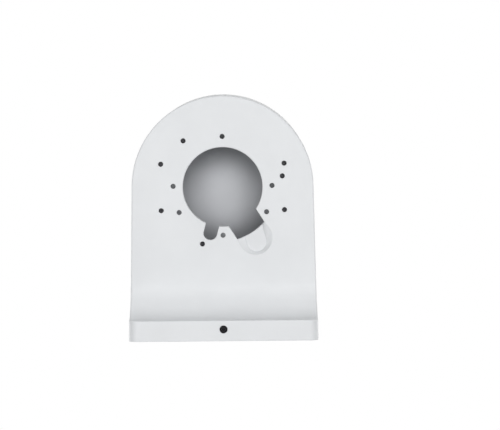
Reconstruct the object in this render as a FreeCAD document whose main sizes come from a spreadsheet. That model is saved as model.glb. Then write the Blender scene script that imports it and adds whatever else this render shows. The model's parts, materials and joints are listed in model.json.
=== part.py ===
import FreeCAD, Part
import math
import os

import Sketcher

# Camera wall bracket: a hollow die-cast arm with a round nose that carries a dome camera on its
# flat underside, a sheet-steel plate that is screwed to the wall and carries the arm on two hooks,
# and a set screw in the underside of the wall flange that locks the arm on the plate.
# Frame: +Z up, the wall is the plane Y = 0, the arm reaches along -Y, the origin is the centre of
# the wall face. All lengths are millimetres and all angles degrees.

# Driving dimensions: alias, value, meaning
DRIVING = [
    ("arm_reach", 99.0, "wall plane to the centre of the camera ring"),
    ("nose_radius", 60.0, "round nose, about the centre of the camera ring"),
    ("side_taper", 1.16, "angle by which each side spreads towards the wall"),
    ("wall_height", 90.0, "height of the arm where it meets the wall"),
    ("roof_fall", 2.0, "slope of the roof, down towards the nose"),
    ("flange_drop", 25.0, "camera face above the underside of the wall flange"),
    ("flange_depth", 13.5, "wall flange, from the wall to its front"),
    ("flange_lip", 3.0, "flat front of the flange below the hollow curve to the camera face"),
    ("shell_wall", 3.5, "thickness of the cast sides and flange"),
    ("roof_wall", 4.0, "thickness of the cast roof"),
    ("face_wall", 3.0, "thickness of the camera face inside the ring"),
    ("ring_inner", 36.0, "radius inside which the camera face is thin"),
    ("ring_wall", 10.0, "thickness of the camera face outside that radius"),
    ("flange_corner", 6.0, "rounding of the two lower corners of the flange"),
    ("roof_round", 8.0, "rounding along the rim of the roof"),
    ("face_round", 1.0, "rounding along the rim of the camera face, cove and flange"),
    ("cable_radius", 26.2, "round cable opening in the camera face"),
    ("opening_chamfer", 0.4, "chamfer along the lower rim of that opening"),
    ("plug_way", 21.3, "slot through the thin face, beside the cable opening, that lets a plug through"),
    ("plug_angle", 302.3, "direction of the slot, seen from below, nose up"),
    ("plug_root", 20.4, "width of the plug's recess where it leaves the cable opening"),
    ("plug_width", 22.4, "width of that recess at its round end, where the face is thick"),
    ("plug_centre", 40.0, "ring centre to the centre of that round end"),
    ("plug_depth", 3.6, "depth of the recess"),
    ("floor_width", 13.0, "width of the floor of the recess, below sloping walls"),
    ("floor_centre", 42.9, "ring centre to the centre of the floor's round end"),
    ("floor_swing", 1.1, "angle from the slot's direction back to that centre"),
    ("floor_turn", 18.0, "angle by which the floor's own direction turns to the wall"),
    ("floor_length", 12.0, "straight sides of that floor"),
    ("notch_width", 9.0, "small notch beside the cable opening"),
    ("notch_centre", 31.7, "ring centre to the centre of the notch's round end"),
    ("notch_angle", 254.6, "direction of the notch, seen from below, nose up"),
    ("screw_bore", 3.3, "tapping bore of the camera screws"),
    ("screw_floor", 2.0, "metal left above the blind tapping bores"),
    ("wide_circle", 80.0, "bolt circle of three blind camera screws"),
    ("wide_angle", 10.0, "direction of the first of them"),
    ("tight_circle", 66.6, "bolt circle of three through camera screws"),
    ("tight_angle", 90.0, "direction of the first of them"),
    ("cross_circle", 65.2, "bolt circle of four through camera screws, one of them shared"),
    ("box_pitch_x", 81.3, "four blind camera screws, spacing across the arm"),
    ("box_pitch_y", 30.7, "four blind camera screws, spacing along the arm"),
    ("lock_setback", 5.9, "front of the flange to the lock screw"),
    ("lock_bore", 5.0, "bore of the lock screw in the flange"),
    ("lock_mouth", 0.4, "chamfer at the mouth of that bore"),
    ("lock_boss", 10.0, "diameter of the boss round that bore, inside the flange"),
    ("lock_boss_top", 18.0, "top of the boss above the underside of the flange"),
    ("lock_play", 0.1, "radial play of the lock screw in its bore"),
    ("lock_end", 0.4, "end of the lock screw above the locking tab"),
    ("lock_recess", 0.9, "lock screw above the underside of the flange"),
    ("lock_socket", 2.5, "hexagon socket of the lock screw, across flats"),
    ("lock_socket_depth", 3.0, "depth of that socket"),
    ("lock_chamfer", 0.5, "chamfer at both ends of the lock screw"),
    ("rib_margin", 6.0, "hanging rib under the roof, beyond the hooks on each side"),
    ("rib_offset", 6.5, "wall plane to the back of the hanging rib"),
    ("rib_thick", 4.0, "thickness of the hanging rib"),
    ("rib_drop", 11.0, "underside of the hanging rib below the top of the wall end"),
    ("sheet_thick", 2.0, "thickness of the steel wall plate"),
    ("sheet_gap", 5.5, "gap between the wall plate and the sides of the arm"),
    ("sheet_corner", 6.0, "corner radius of the wall plate"),
    ("hook_width", 16.0, "width of each hook of the wall plate"),
    ("hook_pitch", 56.0, "spacing of the two hooks"),
    ("hook_lip", 4.5, "height of a hook's lip above its seat"),
    ("hook_play", 0.3, "gap between the hanging rib and the bend of a hook's lip"),
    ("tab_width", 18.0, "width of the locking tab of the wall plate"),
    ("tab_web", 1.9, "metal in front of the hole of the locking tab"),
    ("tab_play", 0.5, "gap between the locking tab and the boss below it"),
    ("tab_bore", 5.4, "hole of the locking tab round the lock screw"),
    ("bend_radius", 1.0, "inside radius of the bends of the wall plate"),
    ("feed_width", 46.0, "cable opening of the wall plate, across"),
    ("feed_margin", 7.5, "that opening above the lower edge of the plate"),
    ("feed_corner", 8.0, "corner radius of that opening"),
    ("anchor_bore", 5.5, "wall screw holes of the wall plate"),
    ("anchor_pitch_x", 80.0, "wall screw holes, spacing across"),
    ("anchor_margin", 6.5, "lower wall screw holes above the lower edge of the plate"),
]

VECTOR = FreeCAD.Vector
UP = VECTOR(0, 0, 1)
START = 1
END = 2
CENTRE = 3
ORIGIN = (-1, 1)
SAME = 0.01
THIRD_TURN = 120.0
QUARTER_TURN = 90.0
HEXAGON = range(0, 360, 60)

doc = FreeCAD.newDocument("camera_wall_bracket")
sheet = doc.addObject("Spreadsheet::Sheet", "Sizes")
for row, (alias, number, meaning) in enumerate(DRIVING, start=1):
    sheet.set(f"A{row}", alias)
    sheet.set(f"B{row}", str(number))
    sheet.setAlias(f"B{row}", alias)
    sheet.set(f"C{row}", meaning)
doc.recompute()

# Levels and distances that several features share, as expressions of the sheet
FLANGE_Z = "(-Sizes.wall_height / 2)"
ROOF_Z = "(Sizes.wall_height / 2)"
FACE_Z = "(Sizes.flange_drop - Sizes.wall_height / 2)"
RING_Y = "(-Sizes.arm_reach)"
CROSS_Y = "(-Sizes.arm_reach - (Sizes.tight_circle - Sizes.cross_circle) / 2)"
LOCK_Y = "(Sizes.lock_setback - Sizes.flange_depth)"
RIB_Z = "(Sizes.wall_height / 2 - Sizes.rib_drop)"
RIB_HALF = "((Sizes.hook_pitch + Sizes.hook_width) / 2 + Sizes.rib_margin)"
TAB_Z = "(Sizes.lock_boss_top + Sizes.tab_play - Sizes.wall_height / 2)"
BEND = "(Sizes.bend_radius + Sizes.sheet_thick)"
SHEET_Z = f"({TAB_Z} + {BEND})"
MARGIN = 10.0
BEYOND_NOSE = f"(-Sizes.arm_reach - Sizes.nose_radius - {MARGIN})"
ALL_ACROSS = "(2 * Sizes.nose_radius + Sizes.arm_reach)"


def value(expression):
    """The number that an expression of the sheet stands for."""
    return float(sheet.evalExpression(expression))


def new_body(name):
    body = doc.addObject("PartDesign::Body", name)
    body.Label = name
    body.Placement = FreeCAD.Placement()
    return body


def new_sketch(body, name, role, shift=None, turn=None):
    """A sketch on one of the body's own origin planes, shifted and turned by expressions."""
    sketch = body.newObject("Sketcher::SketchObject", name)
    plane = next(item for item in body.Origin.OriginFeatures if item.Role == role)
    sketch.AttachmentSupport = (plane, [""])
    sketch.MapMode = "FlatFace"
    for axis, expression in (shift or {}).items():
        sketch.setExpression(f"AttachmentOffset.Base.{axis}", expression)
    if turn:
        sketch.setExpression("AttachmentOffset.Rotation.Angle", turn)
    return sketch


def bind(sketch, kind, *where):
    """Add a constraint whose last argument is an expression of the sheet."""
    *places, expression = where
    number = value(expression)
    if kind == "Angle":
        number = math.radians(number)
    index = sketch.addConstraint(Sketcher.Constraint(kind, *places, number))
    sketch.setExpression(f"Constraints[{index}]", expression)


def join(sketch, kind, first, second):
    """Join the end of one line or arc to the start of the next, with or without a corner."""
    sketch.addConstraint(Sketcher.Constraint(kind, first, END, second, START))


def pin_point(sketch, geometry, point, across, along):
    """Hold a point of the sketch at two signed distances from the sketch's origin."""
    bind(sketch, "DistanceX", *ORIGIN, geometry, point, across)
    bind(sketch, "DistanceY", *ORIGIN, geometry, point, along)


def polygon(sketch, corners):
    """A closed outline whose corners are pairs of expressions."""
    places = [VECTOR(value(across), value(along), 0) for across, along in corners]
    lines = []
    for index, place in enumerate(places):
        following = places[(index + 1) % len(places)]
        lines.append(sketch.addGeometry(Part.LineSegment(place, following)))
    for index, line in enumerate(lines):
        join(sketch, "Coincident", line, lines[(index + 1) % len(lines)])
        pin_point(sketch, line, START, *corners[index])


def rectangle(sketch, left, right, low, high):
    polygon(sketch, [(left, low), (right, low), (right, high), (left, high)])


def circle(sketch, across, along, radius):
    """A circle whose centre and radius are expressions."""
    centre = VECTOR(value(across), value(along), 0)
    index = sketch.addGeometry(Part.Circle(centre, UP, value(radius)))
    pin_point(sketch, index, CENTRE, across, along)
    bind(sketch, "Radius", index, radius)


def arch(sketch, radius, back):
    """The plan of the arm: a round nose, two sides that spread by the taper, a straight back."""
    taper = math.radians(value("Sizes.side_taper"))
    reach = value("Sizes.arm_reach")
    size = value(radius)
    rear = value(back)
    hub = VECTOR(0, -reach, 0)
    touch = VECTOR(size * math.cos(taper), -reach - size * math.sin(taper), 0)
    corner = VECTOR(touch.x + (rear - touch.y) * math.tan(taper), rear, 0)
    far_touch = VECTOR(-touch.x, touch.y, 0)
    far_corner = VECTOR(-corner.x, corner.y, 0)
    nose = sketch.addGeometry(Part.ArcOfCircle(Part.Circle(hub, UP, size), math.pi + taper, -taper))
    right = sketch.addGeometry(Part.LineSegment(touch, corner))
    rear_line = sketch.addGeometry(Part.LineSegment(corner, far_corner))
    left = sketch.addGeometry(Part.LineSegment(far_corner, far_touch))
    join(sketch, "Tangent", nose, right)
    join(sketch, "Coincident", right, rear_line)
    join(sketch, "Coincident", rear_line, left)
    join(sketch, "Tangent", left, nose)
    sketch.addConstraint(Sketcher.Constraint("Horizontal", rear_line))
    pin_point(sketch, nose, CENTRE, "0", RING_Y)
    bind(sketch, "Radius", nose, radius)
    bind(sketch, "DistanceY", *ORIGIN, right, END, back)
    bind(sketch, "Angle", right, "90 - Sizes.side_taper")
    bind(sketch, "Angle", left, "Sizes.side_taper - 90")


def slot(sketch, start, start_width, end, end_width):
    """A slot with two round ends along the sketch's own x axis, which may differ in width."""
    rear = value(start)
    front = value(end)
    hub_size = value(start_width) / 2
    tip_size = value(end_width) / 2
    swing = math.acos((hub_size - tip_size) / (front - rear))

    def rim(centre, size, angle):
        return VECTOR(centre + size * math.cos(angle), size * math.sin(angle), 0)

    tip = Part.Circle(VECTOR(front, 0, 0), UP, tip_size)
    hub = Part.Circle(VECTOR(rear, 0, 0), UP, hub_size)
    upper_side = Part.LineSegment(rim(front, tip_size, swing), rim(rear, hub_size, swing))
    lower_side = Part.LineSegment(rim(rear, hub_size, -swing), rim(front, tip_size, -swing))
    tip_arc = sketch.addGeometry(Part.ArcOfCircle(tip, -swing, swing))
    upper = sketch.addGeometry(upper_side)
    hub_arc = sketch.addGeometry(Part.ArcOfCircle(hub, swing, -swing))
    lower = sketch.addGeometry(lower_side)
    join(sketch, "Tangent", tip_arc, upper)
    join(sketch, "Tangent", upper, hub_arc)
    join(sketch, "Tangent", hub_arc, lower)
    join(sketch, "Tangent", lower, tip_arc)
    pin_point(sketch, hub_arc, CENTRE, start, "0")
    pin_point(sketch, tip_arc, CENTRE, end, "0")
    bind(sketch, "Radius", hub_arc, f"{start_width} / 2")
    bind(sketch, "Radius", tip_arc, f"{end_width} / 2")


def ring_slot(sketch, width, radius):
    """A slot from the sketch's origin along its x axis that ends on a circle about the origin."""
    half = value(width) / 2
    size = value(radius)
    far = math.sqrt(size * size - half * half)
    swing = math.asin(half / size)
    lower = sketch.addGeometry(Part.LineSegment(VECTOR(0, -half, 0), VECTOR(far, -half, 0)))
    end_arc = sketch.addGeometry(Part.ArcOfCircle(Part.Circle(VECTOR(0, 0, 0), UP, size), -swing, swing))
    upper = sketch.addGeometry(Part.LineSegment(VECTOR(far, half, 0), VECTOR(0, half, 0)))
    back = sketch.addGeometry(Part.LineSegment(VECTOR(0, half, 0), VECTOR(0, -half, 0)))
    join(sketch, "Coincident", lower, end_arc)
    join(sketch, "Coincident", end_arc, upper)
    join(sketch, "Coincident", upper, back)
    join(sketch, "Coincident", back, lower)
    sketch.addConstraint(Sketcher.Constraint("Horizontal", lower))
    sketch.addConstraint(Sketcher.Constraint("Horizontal", upper))
    sketch.addConstraint(Sketcher.Constraint("Coincident", end_arc, CENTRE, *ORIGIN))
    pin_point(sketch, back, START, "0", f"{width} / 2")
    pin_point(sketch, back, END, "0", f"-{width} / 2")
    bind(sketch, "Radius", end_arc, radius)


def extrude(body, kind, sketch, length, symmetric=False, reverse=False):
    """A pad or pocket of a sketch, named after the sketch."""
    feature = body.newObject(f"PartDesign::{kind}", f"{sketch.Name}_{kind.lower()}")
    feature.Profile = sketch
    feature.SideType = "Symmetric" if symmetric else "One side"
    feature.Reversed = reverse
    feature.setExpression("Length", length)
    sketch.Visibility = False
    doc.recompute()
    return feature


def work_edges(body, kind, name, size_name, size, pick):
    """Work the edges of the body's last feature that the test picks."""
    base = body.Tip
    picked = [f"Edge{number}" for number, edge in enumerate(base.Shape.Edges, start=1) if pick(edge)]
    feature = body.newObject(f"PartDesign::{kind}", name)
    feature.Base = (base, picked)
    feature.setExpression(size_name, size)
    doc.recompute()


def round_edges(body, name, radius, pick):
    work_edges(body, "Fillet", name, "Radius", radius, pick)


def chamfer_edges(body, name, size, pick):
    work_edges(body, "Chamfer", name, "Size", size, pick)


def middle(edge):
    return edge.valueAt((edge.FirstParameter + edge.LastParameter) / 2)


def near(one, other):
    return abs(one - other) < SAME


def at(edge, height=None, depth=None):
    """Whether the middle of an edge lies at a height Z and a depth Y."""
    place = middle(edge)
    return (height is None or near(place.z, height)) and (depth is None or near(place.y, depth))


def arm_form(body, radius, back, floor_z, front_y, face_z, roof_z):
    """The arm's outer form, or that of its core: plan, underside, cove and sloping roof."""
    plan = new_sketch(body, body.Name + "_plan", "XY_Plane", {"z": floor_z})
    arch(plan, radius, back)
    extrude(body, "Pad", plan, f"{ROOF_Z} - {floor_z}")
    under = new_sketch(body, body.Name + "_under", "YZ_Plane")
    rectangle(under, BEYOND_NOSE, front_y, f"{FLANGE_Z} - {MARGIN}", face_z)
    extrude(body, "Pocket", under, ALL_ACROSS, symmetric=True)
    corner = {"height": value(face_z), "depth": value(front_y)}
    cove = "Sizes.flange_drop - Sizes.flange_lip"
    round_edges(body, body.Name + "_cove", cove, lambda edge: at(edge, **corner))
    roof = new_sketch(body, body.Name + "_roof", "YZ_Plane")
    fall = "tan(Sizes.roof_fall * 1deg)"
    above = f"{ROOF_Z} + {MARGIN}"
    polygon(roof, [
        (f"{MARGIN}", f"{roof_z} + {MARGIN} * {fall}"),
        (f"{MARGIN}", above),
        (BEYOND_NOSE, above),
        (BEYOND_NOSE, f"{roof_z} + {BEYOND_NOSE} * {fall}"),
    ])
    extrude(body, "Pocket", roof, ALL_ACROSS, symmetric=True)


def make_core():
    """The hollow of the arm: open at the wall, lower inside the ring than outside it."""
    body = new_body("arm_core")
    inner_face = f"({FACE_Z} + Sizes.face_wall)"
    arm_form(body, "(Sizes.nose_radius - Sizes.shell_wall)", f"{MARGIN}",
             f"({FLANGE_Z} + Sizes.shell_wall)", "(Sizes.shell_wall - Sizes.flange_depth)",
             inner_face, f"({ROOF_Z} - Sizes.roof_wall)")
    ring = new_sketch(body, "ring", "XY_Plane", {"y": RING_Y, "z": inner_face})
    circle(ring, "0", "0", "Sizes.ring_inner")
    circle(ring, "0", "0", "Sizes.nose_radius")
    extrude(body, "Pocket", ring, "Sizes.ring_wall - Sizes.face_wall", reverse=True)
    return body


def camera_sketch(body, name, turn=None, middle_y=RING_Y):
    """A sketch on the camera face about the middle of the ring, turned as seen from below."""
    turned = f"-{turn} * 1deg" if turn else None
    return new_sketch(body, name, "XY_Plane", {"y": middle_y, "z": FACE_Z}, turned)


def tapping_bore(body, sketch):
    """Bores upwards from the camera face with a flat end, blind where the face is thick."""
    hole = body.newObject("PartDesign::Hole", sketch.Name + "_bore")
    hole.Profile = sketch
    doc.recompute()
    hole.ThreadType = "None"
    hole.DepthType = "Dimension"
    hole.DrillPoint = "Flat"
    hole.Reversed = True
    hole.setExpression("Diameter", "Sizes.screw_bore")
    hole.setExpression("Depth", "Sizes.ring_wall - Sizes.screw_floor")
    sketch.Visibility = False
    doc.recompute()
    return hole


def screw_circle(body, name, diameter, angle, count, step, middle_y=RING_Y):
    """Tapping bores on a bolt circle, from the given angle on clockwise as seen from below."""
    sketch = camera_sketch(body, name, angle, middle_y)
    circle(sketch, f"{diameter} / 2", "0", "Sizes.screw_bore / 2")
    hole = tapping_bore(body, sketch)
    pattern = body.newObject("PartDesign::PolarPattern", name + "_pattern")
    pattern.Originals = [hole]
    pattern.Axis = (sketch, ["N_Axis"])
    pattern.Mode = "Spacing"
    pattern.Offset = step
    pattern.Occurrences = count
    body.Tip = pattern
    doc.recompute()


def plug_recess(body):
    """The slot goes on into the thick ring as a recess, whose floor is narrower and turned a little."""
    mouth = camera_sketch(body, "recess_mouth", "Sizes.plug_angle")
    slot(mouth, "Sizes.cable_radius", "Sizes.plug_root", "Sizes.plug_centre", "Sizes.plug_width")
    bearing = "((Sizes.plug_angle - Sizes.floor_swing) * 1deg)"
    floor = new_sketch(body, "recess_floor", "XY_Plane", {
        "x": f"Sizes.floor_centre * cos{bearing}",
        "y": f"{RING_Y} - Sizes.floor_centre * sin{bearing}",
        "z": f"{FACE_Z} + Sizes.plug_depth",
    }, "(Sizes.floor_turn - Sizes.plug_angle) * 1deg")
    slot(floor, "-Sizes.floor_length", "Sizes.floor_width", "0", "Sizes.floor_width")
    recess = body.newObject("PartDesign::SubtractiveLoft", "plug_recess")
    recess.Profile = mouth
    recess.Sections = [floor]
    recess.Ruled = True
    mouth.Visibility = False
    floor.Visibility = False
    doc.recompute()


def make_bracket(core):
    """The casting: outer form, hollow, hanging rib, screw boss and everything cut in its face."""
    body = new_body("bracket_body")
    arm_form(body, "Sizes.nose_radius", "0", FLANGE_Z, "(-Sizes.flange_depth)", FACE_Z, ROOF_Z)
    floor = value(FLANGE_Z)
    top = value(ROOF_Z)
    face = value(FACE_Z)

    def on_wall(edge):
        return near(middle(edge).y, 0)

    def on_roof(edge):
        fall = math.tan(math.radians(value("Sizes.roof_fall")))
        return all(near(vertex.Z, top + vertex.Y * fall) for vertex in edge.Vertexes) and not on_wall(edge)

    def flange_corner(edge):
        one_side = edge.Vertexes[0].X * edge.Vertexes[-1].X > 0
        return one_side and at(edge, height=floor)

    def face_rim(edge):
        low = middle(edge).z < face + SAME
        return low and not on_wall(edge) and not across_cove(edge)

    def across_cove(edge):
        ends = [vertex.Point for vertex in edge.Vertexes]
        straight = near(ends[0].z, ends[-1].z) and near(ends[0].y, ends[-1].y)
        return straight and not at(edge, height=floor)

    def opening_rim(edge):
        return at(edge, height=face) and near(edge.Length, 2 * math.pi * value("Sizes.cable_radius"))

    def lock_rim(edge):
        return at(edge, height=floor) and near(edge.Length, math.pi * value("Sizes.lock_bore"))

    round_edges(body, "roof_rim", "Sizes.roof_round", on_roof)
    round_edges(body, "flange_corners", "Sizes.flange_corner", flange_corner)
    round_edges(body, "face_rim", "Sizes.face_round", face_rim)
    hollow = body.newObject("PartDesign::Boolean", "hollow")
    hollow.Type = "Cut"
    hollow.Group = [core]
    body.Tip = hollow
    doc.recompute()

    rib = new_sketch(body, "hanging_rib", "XY_Plane", {"z": RIB_Z})
    rectangle(rib, f"-{RIB_HALF}", RIB_HALF, "-Sizes.rib_offset - Sizes.rib_thick", "-Sizes.rib_offset")
    extrude(body, "Pad", rib, f"{ROOF_Z} - Sizes.roof_wall / 2 - {RIB_Z}")
    boss = new_sketch(body, "screw_boss", "XY_Plane",
                      {"y": LOCK_Y, "z": f"{FLANGE_Z} + Sizes.shell_wall / 2"})
    circle(boss, "0", "0", "Sizes.lock_boss / 2")
    extrude(body, "Pad", boss, "Sizes.lock_boss_top - Sizes.shell_wall / 2")

    opening = camera_sketch(body, "cable_opening")
    circle(opening, "0", "0", "Sizes.cable_radius")
    extrude(body, "Pocket", opening, "Sizes.face_wall", reverse=True)
    chamfer_edges(body, "opening_rim", "Sizes.opening_chamfer", opening_rim)
    way = camera_sketch(body, "plug_way", "Sizes.plug_angle")
    ring_slot(way, "Sizes.plug_way", "Sizes.ring_inner")
    extrude(body, "Pocket", way, "Sizes.face_wall", reverse=True)
    plug_recess(body)
    notch = camera_sketch(body, "notch", "Sizes.notch_angle")
    slot(notch, "0", "Sizes.notch_width", "Sizes.notch_centre", "Sizes.notch_width")
    extrude(body, "Pocket", notch, "Sizes.ring_wall", reverse=True)

    screw_circle(body, "wide_circle", "Sizes.wide_circle", "Sizes.wide_angle", 3, THIRD_TURN)
    screw_circle(body, "tight_circle", "Sizes.tight_circle", "Sizes.tight_angle", 3, THIRD_TURN)
    screw_circle(body, "cross_circle", "Sizes.cross_circle", f"(Sizes.tight_angle - {QUARTER_TURN})", 3,
                 QUARTER_TURN, CROSS_Y)
    box = camera_sketch(body, "box_pattern")
    for across in ("-", ""):
        for along in ("-", ""):
            circle(box, f"{across}Sizes.box_pitch_x / 2", f"{along}Sizes.box_pitch_y / 2",
                   "Sizes.screw_bore / 2")
    tapping_bore(body, box)

    lock = new_sketch(body, "lock_bore", "XY_Plane", {"y": LOCK_Y, "z": FLANGE_Z})
    circle(lock, "0", "0", "Sizes.lock_bore / 2")
    extrude(body, "Pocket", lock, "Sizes.lock_boss_top", reverse=True)
    chamfer_edges(body, "lock_mouth", "Sizes.lock_mouth", lock_rim)
    return body


def make_wall_plate():
    """Bent sheet: two hooks at the top, a locking tab below, four screw holes, a cable opening."""
    body = new_body("wall_plate")
    blank = new_sketch(body, "blank", "XZ_Plane")
    inner_half = ("((Sizes.nose_radius - Sizes.shell_wall) / cos(Sizes.side_taper * 1deg)"
                  " + Sizes.arm_reach * tan(Sizes.side_taper * 1deg))")
    half = f"({inner_half} - Sizes.sheet_gap)"
    rectangle(blank, f"-{half}", half, SHEET_Z, f"{RIB_Z} - {BEND}")
    extrude(body, "Pad", blank, "Sizes.sheet_thick")

    def blank_corner(edge):
        ends = [vertex.Point for vertex in edge.Vertexes]
        return near(ends[0].x, ends[-1].x) and near(ends[0].z, ends[-1].z)

    round_edges(body, "blank_corners", "Sizes.sheet_corner", blank_corner)
    lip_back = "(-Sizes.rib_offset - Sizes.rib_thick - Sizes.hook_play - Sizes.bend_radius)"
    lip_front = f"({lip_back} - Sizes.sheet_thick)"
    hook = new_sketch(body, "hook", "YZ_Plane", {"z": "Sizes.hook_pitch / 2"})
    polygon(hook, [
        ("0", f"{RIB_Z} - 2 * {BEND}"),
        ("0", RIB_Z),
        (lip_back, RIB_Z),
        (lip_back, f"{RIB_Z} + Sizes.hook_lip"),
        (lip_front, f"{RIB_Z} + Sizes.hook_lip"),
        (lip_front, f"{RIB_Z} - Sizes.sheet_thick"),
        ("-Sizes.sheet_thick", f"{RIB_Z} - Sizes.sheet_thick"),
        ("-Sizes.sheet_thick", f"{RIB_Z} - 2 * {BEND}"),
    ])
    first = extrude(body, "Pad", hook, "Sizes.hook_width", symmetric=True)
    pair = body.newObject("PartDesign::Mirrored", "hook_pair")
    pair.Originals = [first]
    pair.MirrorPlane = (next(item for item in body.Origin.OriginFeatures if item.Role == "YZ_Plane"), [""])
    body.Tip = pair
    doc.recompute()
    tab_front = f"({LOCK_Y} - Sizes.tab_bore / 2 - Sizes.tab_web)"
    tab = new_sketch(body, "lock_tab", "YZ_Plane")
    polygon(tab, [
        ("0", f"{TAB_Z} + 2 * {BEND}"),
        ("0", TAB_Z),
        (tab_front, TAB_Z),
        (tab_front, f"{TAB_Z} + Sizes.sheet_thick"),
        ("-Sizes.sheet_thick", f"{TAB_Z} + Sizes.sheet_thick"),
        ("-Sizes.sheet_thick", f"{TAB_Z} + 2 * {BEND}"),
    ])
    extrude(body, "Pad", tab, "Sizes.tab_width", symmetric=True)

    thick = value("Sizes.sheet_thick")
    seat = value(RIB_Z)
    under = value(TAB_Z)

    def outside_bend(edge):
        return (at(edge, height=seat, depth=0) or at(edge, height=seat - thick, depth=value(lip_front))
                or at(edge, height=under, depth=0))

    def inside_bend(edge):
        return (at(edge, height=seat - thick, depth=-thick) or at(edge, height=seat, depth=value(lip_back))
                or at(edge, height=under + thick, depth=-thick))

    round_edges(body, "outside_bends", BEND, outside_bend)
    round_edges(body, "inside_bends", "Sizes.bend_radius", inside_bend)
    hole = new_sketch(body, "tab_hole", "XY_Plane", {"y": LOCK_Y, "z": TAB_Z})
    circle(hole, "0", "0", "Sizes.tab_bore / 2")
    extrude(body, "Pocket", hole, "Sizes.sheet_thick", reverse=True)

    feed = new_sketch(body, "cable_feed", "XZ_Plane")
    feed_low = f"({SHEET_Z} + Sizes.feed_margin)"
    rectangle(feed, "-Sizes.feed_width / 2", "Sizes.feed_width / 2", feed_low, f"-{feed_low}")
    extrude(body, "Pocket", feed, "2 * Sizes.sheet_thick", symmetric=True)
    half_width = value("Sizes.feed_width / 2")
    half_height = value(f"-{feed_low}")

    def feed_corner(edge):
        place = middle(edge)
        return near(abs(place.x), half_width) and near(abs(place.z), half_height)

    round_edges(body, "feed_corners", "Sizes.feed_corner", feed_corner)
    anchors = new_sketch(body, "anchors", "XZ_Plane")
    anchor_low = f"({SHEET_Z} + Sizes.anchor_margin)"
    for across in ("-", ""):
        for up in ("-", ""):
            circle(anchors, f"{across}Sizes.anchor_pitch_x / 2", up + anchor_low, "Sizes.anchor_bore / 2")
    extrude(body, "Pocket", anchors, "2 * Sizes.sheet_thick", symmetric=True)
    return body


def make_lock_screw():
    """Headless screw with a hexagon socket, a little below the underside of the flange."""
    body = new_body("lock_screw")
    bottom = f"({FLANGE_Z} + Sizes.lock_recess)"
    shank = new_sketch(body, "shank", "XY_Plane", {"y": LOCK_Y, "z": bottom})
    circle(shank, "0", "0", "Sizes.lock_bore / 2 - Sizes.lock_play")
    extrude(body, "Pad", shank, f"{TAB_Z} + Sizes.sheet_thick + Sizes.lock_end - {bottom}")
    chamfer_edges(body, "screw_ends", "Sizes.lock_chamfer", lambda edge: len(edge.Vertexes) == 1)
    socket = new_sketch(body, "socket", "XY_Plane", {"y": LOCK_Y, "z": bottom})
    corner = "Sizes.lock_socket / sqrt(3)"
    polygon(socket, [(f"{corner} * cos({turn}deg)", f"{corner} * sin({turn}deg)") for turn in HEXAGON])
    extrude(body, "Pocket", socket, "Sizes.lock_socket_depth", reverse=True)
    return body


core = make_core()
sub_parts = [make_bracket(core), make_wall_plate(), make_lock_screw()]

failed = [item.Name for item in doc.Objects if {"Invalid", "Error"} & set(item.State)]
if failed:
    raise RuntimeError(f"features that failed: {failed}")
os.makedirs("parts", exist_ok=True)
for part in sub_parts:
    if part.Shape.isNull() or not part.Shape.isValid():
        raise RuntimeError(f"{part.Label} has no valid shape")
    part.Shape.exportStep(f"parts/{part.Label}.step")
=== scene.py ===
import json
import math

import bpy
from mathutils import Matrix, Vector


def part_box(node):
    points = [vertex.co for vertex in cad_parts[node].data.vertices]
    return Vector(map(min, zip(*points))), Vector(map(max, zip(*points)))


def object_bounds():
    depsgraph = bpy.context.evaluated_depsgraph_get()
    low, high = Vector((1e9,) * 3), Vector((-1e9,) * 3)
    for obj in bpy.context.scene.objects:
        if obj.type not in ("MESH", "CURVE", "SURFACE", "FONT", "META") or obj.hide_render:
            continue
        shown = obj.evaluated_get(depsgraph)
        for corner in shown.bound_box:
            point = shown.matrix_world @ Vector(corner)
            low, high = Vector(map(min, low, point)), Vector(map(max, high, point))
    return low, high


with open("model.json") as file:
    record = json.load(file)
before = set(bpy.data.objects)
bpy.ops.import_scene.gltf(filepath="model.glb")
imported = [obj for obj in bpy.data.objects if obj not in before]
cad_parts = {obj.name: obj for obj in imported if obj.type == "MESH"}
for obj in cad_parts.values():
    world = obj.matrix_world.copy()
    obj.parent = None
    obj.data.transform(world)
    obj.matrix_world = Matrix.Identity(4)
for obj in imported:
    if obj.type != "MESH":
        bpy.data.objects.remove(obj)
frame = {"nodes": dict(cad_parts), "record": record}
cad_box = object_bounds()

# The camera wall bracket seen from below, as it hangs on its wall plate. Metres, +Z up, the wall is
# the plane Y = 0 and the arm reaches along -Y.

MM = 0.001

# Where the photograph was taken from. The camera looks up at AIM_SIDE, AIM_DEPTH on the bracket's
# pale flat face.
PHOTO_WIDTH = 500
LENS_PIXELS = 2122.0
SENSOR = 0.036
DISTANCE = 1.4
PITCH = math.radians(4.3)
ROLL = math.radians(0.53)
AIM_SIDE = 0.0179
AIM_DEPTH = -0.0803
CLIP_NEAR = 0.05
CLIP_FAR = 20.0

# Light
AMBIENT = 0.305
BACKGROUND = 1.0
FLOOR_DEPTH = 1.65
FLOOR_HALF = 6.0
FLOOR_PAINT = 0.9

# Lamps: name, level, distance and width, and side and rise in degrees, as add_lamp takes them
LAMPS = (
    ("below_left", 0.148, 1.5, 0.5, -90.0, -72.0),
    ("below_right", 0.114, 1.5, 0.5, 90.0, -72.0),
    ("below_nose", 0.065, 1.5, 0.3, 0.0, -80.0),
    ("below_nose_right", 0.207, 1.5, 0.5, 45.0, -72.0),
    ("front", 0.098, 1.6, 1.0, 0.0, -5.0),
    ("front_high", 0.08, 1.6, 0.8, 0.0, 32.0),
    ("above", 0.17, 1.6, 1.2, 180.0, 75.0),
    ("left", 0.38, 1.6, 1.0, -110.0, 40.0),
    ("right", 0.34, 1.6, 1.0, 110.0, 40.0),
)

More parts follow.
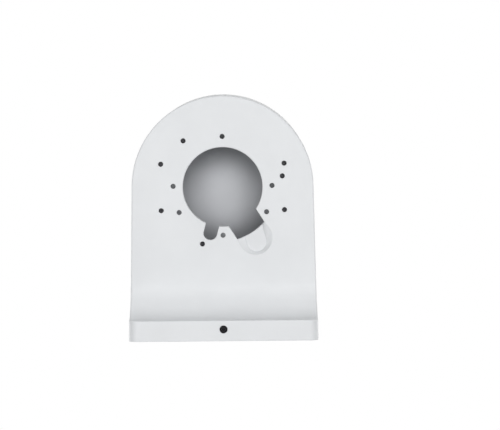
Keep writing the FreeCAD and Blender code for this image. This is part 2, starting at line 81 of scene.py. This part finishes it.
# The casting's own measures, the first ones from the frame
MOUNTS = {mount["name"]: mount for mount in frame["record"]["mounts"]}
FACE_Z = MOUNTS["camera_face"]["pos_m"][2]
RING_Y = MOUNTS["wide_screw_circle"]["pos_m"][1]
BODY_LOW, BODY_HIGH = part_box("bracket_body")
NOSE_RADIUS = RING_Y - BODY_LOW.y
SPREAD = (BODY_HIGH.x - NOSE_RADIUS) / -RING_Y
ROOF_FALL = math.tan(math.radians(2.0))
COVE = 0.022
FLANGE_DEPTH = 0.0135
RING_INNER = 0.036
RING_WALL = 0.010
SIDE_WALL = 0.0035
RECESS_DEPTH = 0.0036
BOSS_TOP = 0.018
THREAD_PITCH = 0.0007

# First bore of each bolt circle and the step to the next, in degrees, seen from below with the nose up
BOLT_CIRCLES = {
    "wide_screw_circle": (10, 120),
    "tight_screw_circle": (90, 120),
    "cross_screw_circle": (0, 90),
}

# Noise lies between these two values nearly everywhere
NOISE_LOW = 0.3
NOISE_HIGH = 0.7

# Colours of the casting as a screen shows them, 0 to 255
COAT_DARK = (227, 229, 231)
COAT_LIGHT = (232, 234, 236)
HOLLOW_COAT = (231, 233, 237)
# Painted light and shade: the recess's walls are set lighter and its floor darker than the coat
RECESS_WALLS_PAINTED_LIGHT = (233, 235, 237)
RECESS_FLOOR_PAINTED_SHADE = (222, 224, 226)
# The uncoated casting in the hollow, set dark partly as painted shade round the roof's painted pool of
# light
CAST_AND_SHADE_DARK = (147, 149, 153)
CAST_AND_SHADE_LIGHT = (159, 161, 165)
# Bore metal, darkened partly as painted shade
BARE_BORE_AND_SHADE = (118, 118, 121)

# Finish of the casting. A scale is in noise cells for each metre.
TONE_SCALE = 28.0
MOTTLE_SCALE = 150.0
ROUGH_SCALE = 240.0
COAT_ROUGH = (0.42, 0.5)
CAST_ROUGH = 0.62
CAST_METAL = 0.4
COAT_SPECULAR = 0.35
COAT_ROUNDING = 0.0006
ROUNDING_SAMPLES = 6

# Relief of the coat, from slow waves through orange peel to a fine grain: scale, height and strength
COAT_RELIEF = (
    (90.0, 0.00012, 0.35),
    (1100.0, 0.00003, 0.5),
    (4200.0, 0.000008, 0.4),
)

# The hollow starts this deep below the outer form, and the recess may be this much deeper than that
HOLLOW_START = 0.00245
HOLLOW_FULL = 0.0029
RECESS_EXTRA = 0.0013

# Powder that reached the roof of the hollow, and at once a painted pool of light where light falls
# through the cable opening, with painted shade round it. In order: how far from its middle it is full,
# how far out it is gone, how far its middle lies off the ring's across and along, how much narrower it
# counts across, so it is wider across the arm, and how uneven its edge is
SPRAY_LIGHT_POOL_FULL = 0.006
SPRAY_LIGHT_POOL_GONE = 0.036
SPRAY_LIGHT_POOL_SHIFT = (0.0022, 0.0105)
SPRAY_LIGHT_POOL_SQUEEZE = 0.92
SPRAY_LIGHT_POOL_UNEVEN = 0.004

# How far the recess's painted light and shade and the bores' darker metal, partly painted shade, start
# from their edges
RECESS_LIP = 0.0004
RECESS_FLOOR_START = 0.0006
RECESS_FLOOR_FULL = 0.0001
BORE_EDGE = 0.0003

# Zinc-plated sheet
ZINC_DARK = (158, 161, 165)
ZINC_LIGHT = (174, 177, 181)
ZINC_ROUGH = (0.36, 0.44)
ZINC_MOTTLE_SCALE = 60.0
ROLLING_SCALE = 2600.0
ROLLING_STRETCH = (0.06, 1.0, 1.0)
ROLLING_SHARE = 0.35
ROLLING_HEIGHT = 0.00003
ROLLING_STRENGTH = 0.5

# Blackened steel
OXIDE_DARK = (22, 22, 24)
OXIDE_LIGHT = (36, 36, 38)
OXIDE_ROUGH = (0.35, 0.5)
OXIDE_METAL = 0.85
SPECKLE_SCALE = 2400.0
SPECKLE_HEIGHT = 0.00001
SPECKLE_STRENGTH = 0.4


def linear(screen):
    """The linear colour of a screen colour of 0 to 255."""
    def channel(level):
        share = level / 255
        return share / 12.92 if share <= 0.04045 else ((share + 0.055) / 1.055) ** 2.4
    return (*(channel(level) for level in screen), 1.0)


class Nodes:
    """A material's or world's node tree, with short calls for what the materials share."""

    def __init__(self, owner):
        owner.use_nodes = True
        self.tree = owner.node_tree
        self.tree.nodes.clear()

    def add(self, kind, settings=None, **inputs):
        """A new node. Inputs go by name, with _ for a space, or as i and their number."""
        node = self.tree.nodes.new("ShaderNode" + kind)
        for name, setting in (settings or {}).items():
            setattr(node, name, setting)
        for name, source in inputs.items():
            self.feed(node, name.replace("_", " "), source)
        return node

    def feed(self, node, name, source):
        numbered = name[0] == "i" and name[1:].isdigit()
        socket = node.inputs[int(name[1:])] if numbered else node.inputs[name]
        if isinstance(source, bpy.types.NodeSocket):
            self.tree.links.new(source, socket)
        else:
            socket.default_value = source

    def math(self, operation, first, second=0.0, third=0.0):
        return self.add("Math", {"operation": operation}, i0=first, i1=second, i2=third).outputs[0]

    def length(self, across, along):
        """The length of a flat vector."""
        squares = self.math("MULTIPLY_ADD", across, across, self.math("MULTIPLY", along, along))
        return self.math("SQRT", squares)

    def step(self, level, low, high):
        """Zero below low, one above high and a smooth step between."""
        settings = {"interpolation_type": "SMOOTHSTEP"}
        node = self.add("MapRange", settings, Value=level, From_Min=low, From_Max=high)
        return node.outputs["Result"]

    def ramp(self, noise, low=0.0, high=1.0):
        """Noise spread over low to high."""
        node = self.add("MapRange", {"clamp": True}, Value=noise, From_Min=NOISE_LOW,
                        From_Max=NOISE_HIGH, To_Min=low, To_Max=high)
        return node.outputs["Result"]

    def mix(self, share, first, second):
        """A number between first and second."""
        return self.add("Mix", {"data_type": "FLOAT"}, i0=share, i2=first, i3=second).outputs[0]

    def blend(self, share, first, second):
        """A colour between first and second."""
        return self.add("Mix", {"data_type": "RGBA"}, i0=share, i6=first, i7=second).outputs[2]

    def noise(self, place, scale, detail=2.0):
        return self.add("TexNoise", Vector=place, Scale=scale, Detail=detail).outputs["Fac"]

    def bump(self, relief, height, strength, **below):
        """The normal of a relief, on top of the normal that below may give."""
        return self.add("Bump", Height=relief, Distance=height, Strength=strength, **below).outputs[0]

    def shader(self, **inputs):
        """End a material in one principled shader."""
        principled = self.add("BsdfPrincipled", **inputs)
        self.add("OutputMaterial", Surface=principled.outputs[0])


def seen_directly(nodes):
    """One where a ray comes from the camera, a reflection or through glass, and zero for light."""
    path = nodes.add("LightPath").outputs
    seen = nodes.math("MAXIMUM", path["Is Camera Ray"], path["Is Glossy Ray"])
    return nodes.math("MAXIMUM", seen, path["Is Transmission Ray"])


def depth_below_skin(nodes, x, y, z):
    """How deep a point lies below the casting's outer form, with its edges taken as sharp."""
    ahead = nodes.math("SUBTRACT", y, RING_Y)
    round_part = nodes.math("MINIMUM", ahead, 0.0)
    spread_part = nodes.math("MAXIMUM", ahead, 0.0)
    half = nodes.math("MULTIPLY_ADD", spread_part, SPREAD, NOSE_RADIUS)
    side = nodes.math("SUBTRACT", half, nodes.length(x, round_part))
    roof = nodes.math("SUBTRACT", nodes.math("MULTIPLY_ADD", y, ROOF_FALL, BODY_HIGH.z), z)
    to_flange = nodes.math("MAXIMUM", nodes.math("ADD", y, FLANGE_DEPTH + COVE), 0.0)
    above_cove = nodes.math("SUBTRACT", z, FACE_Z - COVE)
    under = nodes.math("SUBTRACT", nodes.length(to_flange, above_cove), COVE)
    above_face = nodes.math("GREATER_THAN", z, FACE_Z)
    under = nodes.math("MULTIPLY_ADD", above_face, -RECESS_EXTRA, under)
    bottom = nodes.math("SUBTRACT", z, BODY_LOW.z)
    nearest = nodes.math("MINIMUM", side, roof)
    return nodes.math("MINIMUM", nearest, nodes.math("MINIMUM", under, bottom))


def face_bores():
    """Where the tapping bores of the camera face lie."""
    places = []
    for name, (first, step) in BOLT_CIRCLES.items():
        mount = MOUNTS[name]
        middle_x, middle_y = mount["pos_m"][:2]
        reach = mount["dims"]["pcd_mm"] / 2 * MM
        for index in range(mount["dims"]["count"]):
            turn = math.radians(first - index * step)
            places.append((middle_x + reach * math.cos(turn), middle_y - reach * math.sin(turn)))
    box = MOUNTS["box_screw_pattern"]
    across = box["dims"]["spacing_x_mm"] / 2 * MM
    along = box["dims"]["spacing_y_mm"] / 2 * MM
    return places + [(x, box["pos_m"][1] + y) for x in (-across, across) for y in (-along, along)]


def in_bores(nodes, place, z):
    """One inside a bore of the casting, and zero on the surfaces round it."""
    flat = nodes.add("VectorMath", {"operation": "MULTIPLY"}, i0=place, i1=(1, 1, 0)).outputs[0]

    def inside(centre, radius):
        apart = nodes.add("VectorMath", {"operation": "DISTANCE"}, i0=flat, i1=(*centre, 0))
        return nodes.math("LESS_THAN", apart.outputs["Value"], radius + BORE_EDGE)

    def between(low, high):
        over = nodes.math("GREATER_THAN", z, low)
        return nodes.math("MULTIPLY", over, nodes.math("LESS_THAN", z, high))

    tapped = 0.0
    radius = MOUNTS["box_screw_pattern"]["dims"]["hole_r_mm"] * MM
    for centre in face_bores():
        tapped = nodes.math("MAXIMUM", tapped, inside(centre, radius))
    in_face = nodes.math("MULTIPLY", tapped, between(FACE_Z + BORE_EDGE, FACE_Z + RING_WALL - BORE_EDGE))
    low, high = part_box("lock_screw")
    lock = inside(((low.x + high.x) / 2, (low.y + high.y) / 2), (high.x - low.x) / 2)
    in_boss = nodes.math("MULTIPLY", lock, between(BODY_LOW.z + BORE_EDGE, BODY_LOW.z + BOSS_TOP))
    return nodes.math("MAXIMUM", in_face, in_boss)


def recess_painted_shading(nodes, x, y, z, colour):
    """The plug's recess with painted light and shade: its sloping walls painted lighter and its floor
    darker.
    """
    from_ring = nodes.length(x, nodes.math("SUBTRACT", y, RING_Y))
    in_ring = nodes.math("MULTIPLY", nodes.math("GREATER_THAN", from_ring, RING_INNER),
                         nodes.math("LESS_THAN", from_ring, NOSE_RADIUS - SIDE_WALL))
    above = nodes.math("SUBTRACT", z, FACE_Z)
    in_recess = nodes.math("MULTIPLY", in_ring, nodes.math("LESS_THAN", above, RECESS_DEPTH + BORE_EDGE))
    share = nodes.math("MULTIPLY", in_recess, nodes.step(above, 0.0, RECESS_LIP))
    floor = nodes.step(above, RECESS_DEPTH - RECESS_FLOOR_START, RECESS_DEPTH - RECESS_FLOOR_FULL)
    return nodes.blend(share, colour, nodes.blend(floor, linear(RECESS_WALLS_PAINTED_LIGHT), linear(RECESS_FLOOR_PAINTED_SHADE)))


def powder_coat():
    """Satin white powder coat: a fine orange peel over slow waves of the casting below it.

    The coat is full outside. In the hollow it is a little cooler, and full on the roof opposite the
    cable opening, which also paints a pool of light where light falls through that opening; round that
    it thins out to the uncoated casting, dark as painted shade. The bores are uncoated metal, darkened
    as painted shade, with the ridges of their threads. The plug's recess has painted light on its walls
    and painted shade on its floor.
    """
    material = bpy.data.materials.new("powder_coat")
    nodes = Nodes(material)
    place = nodes.add("TexCoord").outputs["Object"]
    x, y, z = nodes.add("SeparateXYZ", Vector=place).outputs
    tone = nodes.noise(place, TONE_SCALE, detail=3.0)
    mottle = nodes.noise(place, MOTTLE_SCALE, detail=4.0)

    hollow = nodes.step(depth_below_skin(nodes, x, y, z), HOLLOW_START, HOLLOW_FULL)
    # Painted pool of light on the roof opposite the cable opening, with painted shade round it where the
    # casting shows uncoated
    across = nodes.math("MULTIPLY", nodes.math("SUBTRACT", x, SPRAY_LIGHT_POOL_SHIFT[0]), SPRAY_LIGHT_POOL_SQUEEZE)
    off_axis = nodes.length(across, nodes.math("SUBTRACT", y, RING_Y + SPRAY_LIGHT_POOL_SHIFT[1]))
    uneven = nodes.math("MULTIPLY_ADD", mottle, SPRAY_LIGHT_POOL_UNEVEN, off_axis)
    bare_and_painted_shade = nodes.math("MULTIPLY", hollow, nodes.step(uneven, SPRAY_LIGHT_POOL_FULL, SPRAY_LIGHT_POOL_GONE))
    bore = in_bores(nodes, place, z)

    skin_colour = nodes.blend(nodes.ramp(tone), linear(COAT_DARK), linear(COAT_LIGHT))
    # The uncoated casting's tone, darkened partly as painted shade
    cast_and_shade_colour = nodes.blend(nodes.ramp(mottle), linear(CAST_AND_SHADE_DARK), linear(CAST_AND_SHADE_LIGHT))
    coat = nodes.blend(hollow, recess_painted_shading(nodes, x, y, z, skin_colour), linear(HOLLOW_COAT))
    # The bores' darker metal is partly painted shade
    colour = nodes.blend(bore, nodes.blend(bare_and_painted_shade, coat, cast_and_shade_colour), linear(BARE_BORE_AND_SHADE))
    metal = nodes.math("MAXIMUM", nodes.math("MULTIPLY", bare_and_painted_shade, CAST_METAL), bore)
    rough = nodes.mix(bare_and_painted_shade, nodes.ramp(nodes.noise(place, ROUGH_SCALE), *COAT_ROUGH), CAST_ROUGH)

    normal = nodes.add("Bevel", {"samples": ROUNDING_SAMPLES}, Radius=COAT_ROUNDING).outputs[0]
    for scale, height, strength in COAT_RELIEF:
        normal = nodes.bump(nodes.noise(place, scale), height, strength, Normal=normal)
    thread = nodes.math("MULTIPLY", nodes.math("PINGPONG", z, THREAD_PITCH / 2), bore)
    normal = nodes.bump(thread, 1.0, 1.0, Normal=normal)
    nodes.shader(Base_Color=colour, Roughness=rough, Metallic=metal, Normal=normal,
                 Specular_IOR_Level=COAT_SPECULAR)
    return material


def zinc_plate():
    """Zinc-plated sheet: a cool grey metal with faint rolling lines and mottled plating."""
    material = bpy.data.materials.new("zinc_plate")
    nodes = Nodes(material)
    place = nodes.add("TexCoord").outputs["Object"]
    stretched = nodes.add("Mapping", Vector=place, Scale=ROLLING_STRETCH).outputs[0]
    lines = nodes.noise(stretched, ROLLING_SCALE)
    mottle = nodes.noise(place, ZINC_MOTTLE_SCALE, detail=3.0)
    streaks = nodes.mix(ROLLING_SHARE, nodes.ramp(mottle), nodes.ramp(lines))
    nodes.shader(Base_Color=nodes.blend(streaks, linear(ZINC_DARK), linear(ZINC_LIGHT)),
                 Roughness=nodes.mix(streaks, *ZINC_ROUGH), Metallic=1.0,
                 Normal=nodes.bump(lines, ROLLING_HEIGHT, ROLLING_STRENGTH))
    return material


def black_oxide():
    """Blackened steel of the lock screw, with a fine speckle."""
    material = bpy.data.materials.new("black_oxide")
    nodes = Nodes(material)
    place = nodes.add("TexCoord").outputs["Object"]
    speckle = nodes.noise(place, SPECKLE_SCALE, detail=3.0)
    nodes.shader(Base_Color=nodes.blend(nodes.ramp(speckle), linear(OXIDE_DARK), linear(OXIDE_LIGHT)),
                 Roughness=nodes.ramp(speckle, *OXIDE_ROUGH), Metallic=OXIDE_METAL,
                 Normal=nodes.bump(speckle, SPECKLE_HEIGHT, SPECKLE_STRENGTH))
    return material


def dress(node_name, material):
    """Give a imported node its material."""
    for slot in frame["nodes"][node_name].material_slots:
        slot.material = material


def make_world():
    """White where it is seen, and a plainer level where it lights."""
    world = bpy.data.worlds.new("studio")
    bpy.context.scene.world = world
    nodes = Nodes(world)
    strength = nodes.mix(seen_directly(nodes), AMBIENT, BACKGROUND)
    shader = nodes.add("Background", Color=(1, 1, 1, 1), Strength=strength)
    nodes.add("OutputWorld", Surface=shader.outputs[0])


def make_floor():
    """A plain pale floor far below the bracket, behind the camera."""
    material = bpy.data.materials.new("floor_paint")
    nodes = Nodes(material)
    paint = nodes.add("BsdfDiffuse", Color=(FLOOR_PAINT, FLOOR_PAINT, FLOOR_PAINT, 1)).outputs[0]
    white = nodes.add("Emission", Color=(1, 1, 1, 1), Strength=BACKGROUND).outputs[0]
    mixed = nodes.add("MixShader", Fac=seen_directly(nodes), i1=paint, i2=white).outputs[0]
    nodes.add("OutputMaterial", Surface=mixed)
    corners = [(-FLOOR_HALF, -FLOOR_HALF), (FLOOR_HALF, -FLOOR_HALF), (FLOOR_HALF, FLOOR_HALF),
               (-FLOOR_HALF, FLOOR_HALF)]
    mesh = bpy.data.meshes.new("floor")
    mesh.from_pydata([(x, y, -FLOOR_DEPTH) for x, y in corners], [], [(0, 1, 2, 3)])
    mesh.materials.append(material)
    floor = bpy.data.objects.new("floor", mesh)
    bpy.context.scene.collection.objects.link(floor)


def add_lamp(name, level, distance, width, side, rise, target):
    """A square lamp, whose level of 1 lights a white surface that faces it to full white.

    Side is the angle round the vertical, with 0 in front of the nose, and rise is above the horizon.
    """
    light = bpy.data.lights.new(name, "AREA")
    light.shape = "SQUARE"
    light.size = width
    light.energy = level * math.pi ** 2 * distance ** 2
    lamp = bpy.data.objects.new(name, light)
    bpy.context.scene.collection.objects.link(lamp)
    turn = math.radians(side)
    lift = math.radians(rise)
    back = Vector((math.sin(turn) * math.cos(lift), -math.cos(turn) * math.cos(lift), math.sin(lift)))
    lamp.location = target + back * distance
    lamp.rotation_mode = "QUATERNION"
    lamp.rotation_quaternion = (-back).to_track_quat("-Z", "Y")


def make_lights():
    """All lamps, aimed at the middle of the bracket."""
    middle = (cad_box[0] + cad_box[1]) / 2
    for name, level, distance, width, side, rise in LAMPS:
        add_lamp(name, level, distance, width, side, rise, middle)


def make_camera():
    """The photograph's view: from below, a little in front of the nose, turned by half a degree."""
    forward = Vector((0, math.sin(PITCH), math.cos(PITCH)))
    up = Vector((0, -math.cos(PITCH), math.sin(PITCH)))
    right = Vector((1, 0, 0))
    rolled_right = math.cos(ROLL) * right - math.sin(ROLL) * up
    rolled_up = math.cos(ROLL) * up + math.sin(ROLL) * right
    data = bpy.data.cameras.new("photo_camera")
    data.sensor_width = SENSOR / MM
    data.lens = LENS_PIXELS / PHOTO_WIDTH * SENSOR / MM
    data.clip_start = CLIP_NEAR
    data.clip_end = CLIP_FAR
    camera = bpy.data.objects.new("photo_camera", data)
    bpy.context.scene.collection.objects.link(camera)
    aim = Vector((AIM_SIDE, AIM_DEPTH, FACE_Z))
    turned = Matrix((rolled_right, rolled_up, -forward)).transposed()
    camera.matrix_world = Matrix.Translation(aim - forward * DISTANCE) @ turned.to_4x4()
    bpy.context.scene.camera = camera


dress("bracket_body", powder_coat())
dress("wall_plate", zinc_plate())
dress("lock_screw", black_oxide())
make_world()
make_floor()
make_lights()
make_camera()
bpy.context.scene.view_settings.view_transform = "Standard"
